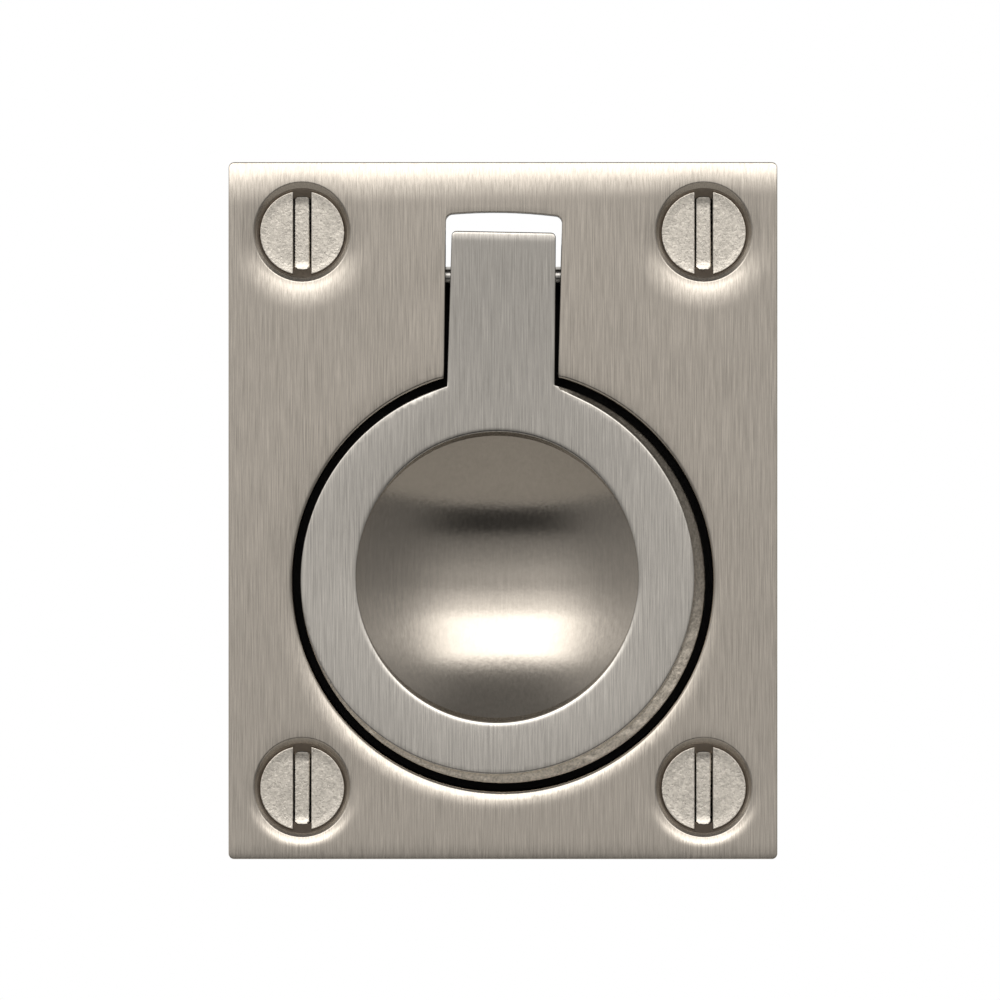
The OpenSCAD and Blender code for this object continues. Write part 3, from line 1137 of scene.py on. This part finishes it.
@dataclass
class WoodScrew:
    """A slotted countersunk wood screw, with a lipped head and a cut thread."""

    name: str
    x: float
    y: float
    head_r: float = 3.85
    head_top: float = 2.02
    lip_w: float = 1.0
    lip_rise: float = 0.06
    slot_floor: float = 1.32
    slot_half_l: float = 3.2
    slot_half_w: float = 0.825
    gutter: float = 0.2
    gutter_w: float = 0.17
    slot_rise: float = 0.09
    slot_sweep: float = 0.8
    slot_drop: float = 0.03
    edge_wear: float = 0.09
    thread_top: float = -5.98
    tip: float = -17.98
    point_l: float = 4.0
    pitch: float = 1.7
    crest_r: float = 2.0
    root_r: float = 1.35
    shoulder: float = 0.8
    ridge_half: float = 0.3
    tip_crest: float = 0.25
    rows_per_turn: int = 14
    slot_step: float = 0.14
    head_step: float = 0.3

    def reach(self, xy: Array) -> Array:
        """Gives the distance of points from the screw's axis."""
        return np.hypot(xy[:, 0] - self.x, xy[:, 1] - self.y)

    def head_height(self, xy: Array) -> Array:
        """Gives the height of the head's face, which rises to a lip at its rim."""
        lip = np.clip((self.reach(xy) - self.head_r + self.lip_w) / self.lip_w, 0, 1)
        return self.head_top - self.lip_rise * (1 - lip**2)

    def floor_height(self, xy: Array) -> Array:
        """Gives the height of the slot's floor, which sweeps up at its ends.

        Args:
            xy: Points, a row of x and y each.

        Returns:
            Their heights.
        """
        along = np.abs(xy[:, 1] - self.y) - self.slot_half_l
        sweep = np.clip((along + self.slot_sweep) / self.slot_sweep, 0, 1)
        start = self.slot_half_w - self.gutter_w
        gutter = ease(np.abs(xy[:, 0] - self.x), start, self.slot_half_w)
        return self.slot_floor - self.slot_drop + self.slot_rise * sweep**2 - self.gutter * gutter

    def in_shaded_gutter(self, middles: Array) -> Array:
        """Tells which faces lie in the gutters along the slot's walls, which get black painted shade.

        Args:
            middles: The faces' middles.

        Returns:
            True for each face in a gutter.
        """
        aside = np.abs(middles[:, 0] - self.x)
        deep = (middles[:, 2] > 1) & (middles[:, 2] < self.slot_floor - 0.01)
        return deep & (aside > self.slot_half_w - 0.13) & (aside < self.slot_half_w + 0.01)

    def remade(self, middles: Array, normals: Array) -> Array:
        """Tells which CAD faces go: other screws, the head's face, the slot's floor and the thread.

        Args:
            middles: The faces' middles.
            normals: The faces' normals.

        Returns:
            True for each face that goes.
        """
        other = np.maximum(np.abs(middles[:, 0] - self.x), np.abs(middles[:, 1] - self.y)) > 8
        top = (normals[:, 2] > 0.9) & (middles[:, 2] > 1.1)
        return other | top | (middles[:, 2] < self.thread_top + NEAR)

    def finish(self, middles: Array, normals: Array) -> Array:
        """Gives the finish of the CAD faces that stay: plain metal."""
        return np.full(len(middles), Side.FACE)

    def cut_thread(self, shell: Shell, rim: Row) -> None:
        """Cuts the thread and the gimlet point below the shank.

        Args:
            shell: The screw so far.
            rim: Points around the end of its shank.
        """
        spots = shell.at(rim)
        turn = np.arctan2(spots[:, 1] - self.y, spots[:, 0] - self.x)
        length = self.thread_top - self.tip
        count = int(length / self.pitch * self.rows_per_turn)
        rows = [rim]
        for depth in np.linspace(0, length, count + 1)[1:-1]:
            taper = min(1.0, (length - depth) / self.point_l)
            run_in = depth / self.shoulder
            root = (self.root_r + (self.crest_r - self.root_r) * max(0.0, 1 - run_in)) * taper
            crest = self.crest_r * (self.tip_crest + (1 - self.tip_crest) * taper) * taper
            rise = (crest - root) * min(1.0, run_in)
            phase = np.mod(-depth / self.pitch - turn / (2 * math.pi), 1)
            ridge = np.clip(1 - np.abs(phase - 0.5) / self.ridge_half, 0, 1)
            r = root + max(rise, 0.0) * ridge
            z = np.full(len(rim), self.thread_top - depth)
            x, y = self.x + r * np.cos(turn), self.y + r * np.sin(turn)
            rows.append(shell.add_points(np.column_stack([x, y, z])))
        shell.band(rows, Side.FACE)
        shell.fan(rows[-1], [self.x, self.y, self.tip], Side.FACE)

    def build(self) -> bpy.types.Object:
        """Builds the screw.

        Returns:
            The screw's object.
        """
        shell, rims = open_copy("fixing_screws", self.remade, self.finish)
        for rim in rims:
            z = shell.at(rim)[:, 2].mean()
            if z < 0:
                self.cut_thread(shell, rim)
            elif z < (self.slot_floor + self.head_top) / 2:
                floor = shell.drop_to(rim, self.floor_height)
                shell.fill([floor], self.floor_height, self.slot_step, Side.FACE)
            else:
                wear = self.edge_wear
                top = shell.round_rim(rim, self.head_height, wear, True, 0.0, Side.FACE)
                shell.fill([top], self.head_height, self.head_step, Side.FACE)
        # Black painted shade in the gutters along the slot's walls.
        shell.repaint(self.in_shaded_gutter, Side.SHADED_GUTTER)
        screw = shell.to_object(self.name, [SPECKLED_SCREW, BLACK_SHADE])
        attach(screw, "backplate")
        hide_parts("fixing_screws")
        return screw


@dataclass
class Studio:
    """White backdrop, soft light above the camera, pale floor and the camera, in mm and degrees."""

    distance: float = 900.0
    aim: Pair = (-0.27, 0.96)
    field_w: float = 91.075
    sensor: float = 36.0
    floor_z: float = -950.0
    floor_r: float = 1300.0
    floor_sides: int = 96
    # Brightness that the metal sees at each height above the camera's line, straight ahead:
    # grey table, dark gap under the camera, grey screen, softbox from 18 to 34, dark ceiling.
    ahead: Steps = (
        (-90, 0.42), (-36, 0.40), (-33, 0.05), (-24, 0.04), (-20, 0.25), (-9, 0.48), (-4, 0.65),
        (2, 0.65), (7, 1.1), (13, 1.5), (18, 2.9), (34, 2.9), (38, 1.0), (43, 0.25), (52, 0.18),
        (90, 0.2),
    )
    # And to the sides, past the ends of the softbox.
    beside: Steps = (
        (-90, 0.36), (-30, 0.2), (0, 0.34), (25, 0.65), (42, 0.4), (60, 0.18), (90, 0.2),
    )
    softbox_half: Pair = (18.0, 52.0)
    # The screen on the left stands a little nearer than the one on the right.
    left_gain: float = 0.2
    # Share of a direction that points behind the part, from which the world turns white.
    behind: Pair = (-0.1, 0.3)
    clip_m: Pair = (0.01, 20.0)

    @staticmethod
    def ramp(tree: Tree, share: Socket, steps: Steps) -> Socket:
        """Adds a brightness ramp over height.

        Args:
            tree: The world's nodes.
            share: Height, from 0 straight down to 1 straight up.
            steps: Heights in degrees and the brightness at each.

        Returns:
            The brightness.
        """
        most = max(level for _, level in steps)
        node = add(tree, "ValToRGB", {"Fac": share})
        stops = node.color_ramp.elements
        while len(stops) < len(steps):
            stops.new(0.5)
        for stop, (angle, level) in zip(stops, steps):
            stop.position = (angle + 90) / 180
            stop.color = (level / most,) * 3 + (1.0,)
        return calc(tree, "MULTIPLY", node.outputs["Color"], most)

    def light(self) -> None:
        """Lights the world: white for the camera and behind the part, a soft studio before it."""
        world = bpy.data.worlds.new("studio")
        bpy.context.scene.world = world
        world.use_nodes = True
        tree = world.node_tree
        tree.nodes.clear()
        toward = add(tree, "TexCoord").outputs["Generated"]
        axis = add(tree, "SeparateXYZ", {0: toward}).outputs
        rise = calc(tree, "ARCSINE", axis["Z"])
        share = calc(tree, "MULTIPLY_ADD", rise, 1 / math.pi, 0.5)
        turn = calc(tree, "ARCTAN2", axis["X"], calc(tree, "MULTIPLY", axis["Y"], -1.0))
        ends = (math.radians(angle) for angle in self.softbox_half)
        aside = blend(tree, calc(tree, "ABSOLUTE", turn), *ends)
        ahead, beside = (self.ramp(tree, share, steps) for steps in (self.ahead, self.beside))
        lean = calc(tree, "MULTIPLY_ADD", axis["X"], -self.left_gain, 1.0)
        level = calc(tree, "MULTIPLY", mix(tree, aside, ahead, beside), lean)
        level = mix(tree, blend(tree, axis["Y"], *self.behind), level, 1.0)
        seen = add(tree, "LightPath").outputs["Is Camera Ray"]
        level = mix(tree, seen, level, 1.0)
        glow = add(tree, "Background", {"Color": (1.0, 1.0, 1.0, 1.0), "Strength": level})
        add(tree, "OutputWorld", {"Surface": glow.outputs[0]})

    def lay_floor(self) -> None:
        """Lays a plain pale floor well below the part, white to the camera."""
        rim = circle(self.floor_sides) * self.floor_r * MM
        spots = [(x, y, self.floor_z * MM) for x, y in rim.tolist()]
        mesh = bpy.data.meshes.new("floor")
        mesh.from_pydata(spots, [], [tuple(range(self.floor_sides))])
        paper = bpy.data.materials.new("matt_white_paper")
        paper.use_nodes = True
        tree = paper.node_tree
        tree.nodes.clear()
        matt = add(tree, "BsdfDiffuse", {"Color": linear("#c4c2be"), "Roughness": 0.5})
        white = add(tree, "Emission", {"Color": (1.0, 1.0, 1.0, 1.0), "Strength": 1.0})
        seen = add(tree, "LightPath").outputs["Is Camera Ray"]
        mixed = add(tree, "MixShader", {0: seen, 1: matt.outputs[0], 2: white.outputs[0]})
        add(tree, "OutputMaterial", {"Surface": mixed.outputs[0]})
        mesh.materials.append(paper)
        floor = bpy.data.objects.new("floor", mesh)
        bpy.context.scene.collection.objects.link(floor)

    def place_camera(self, face: float) -> None:
        """Places the camera square to the plate's face.

        Args:
            face: Height of the plate's face.
        """
        data = bpy.data.cameras.new("camera")
        data.sensor_width = self.sensor
        data.lens = self.sensor * self.distance / self.field_w
        data.clip_start, data.clip_end = self.clip_m
        camera = bpy.data.objects.new("camera", data)
        camera.location = (self.aim[0] * MM, -(face + self.distance) * MM, self.aim[1] * MM)
        camera.rotation_euler = (math.pi / 2, 0.0, 0.0)
        bpy.context.scene.collection.objects.link(camera)
        bpy.context.scene.camera = camera


def main() -> None:
    """Builds the studio and every piece."""
    bpy.context.scene.view_settings.view_transform = "Standard"
    plate = Backplate()
    studio = Studio()
    studio.light()
    studio.lay_floor()
    studio.place_camera(plate.face)
    sides, ends = plate.screws
    makers = [plate, PullRing(), HingePin()]
    for row, end in (("top", 1), ("bottom", -1)):
        for column, side in (("left", -1), ("right", 1)):
            makers.append(WoodScrew(f"screw_{row}_{column}", side * sides, end * ends))
    for maker in makers:
        piece = maker.build()
        LOG.info("%s: %d faces", piece.name, len(piece.data.polygons))


if __name__ == "__main__":
    main()
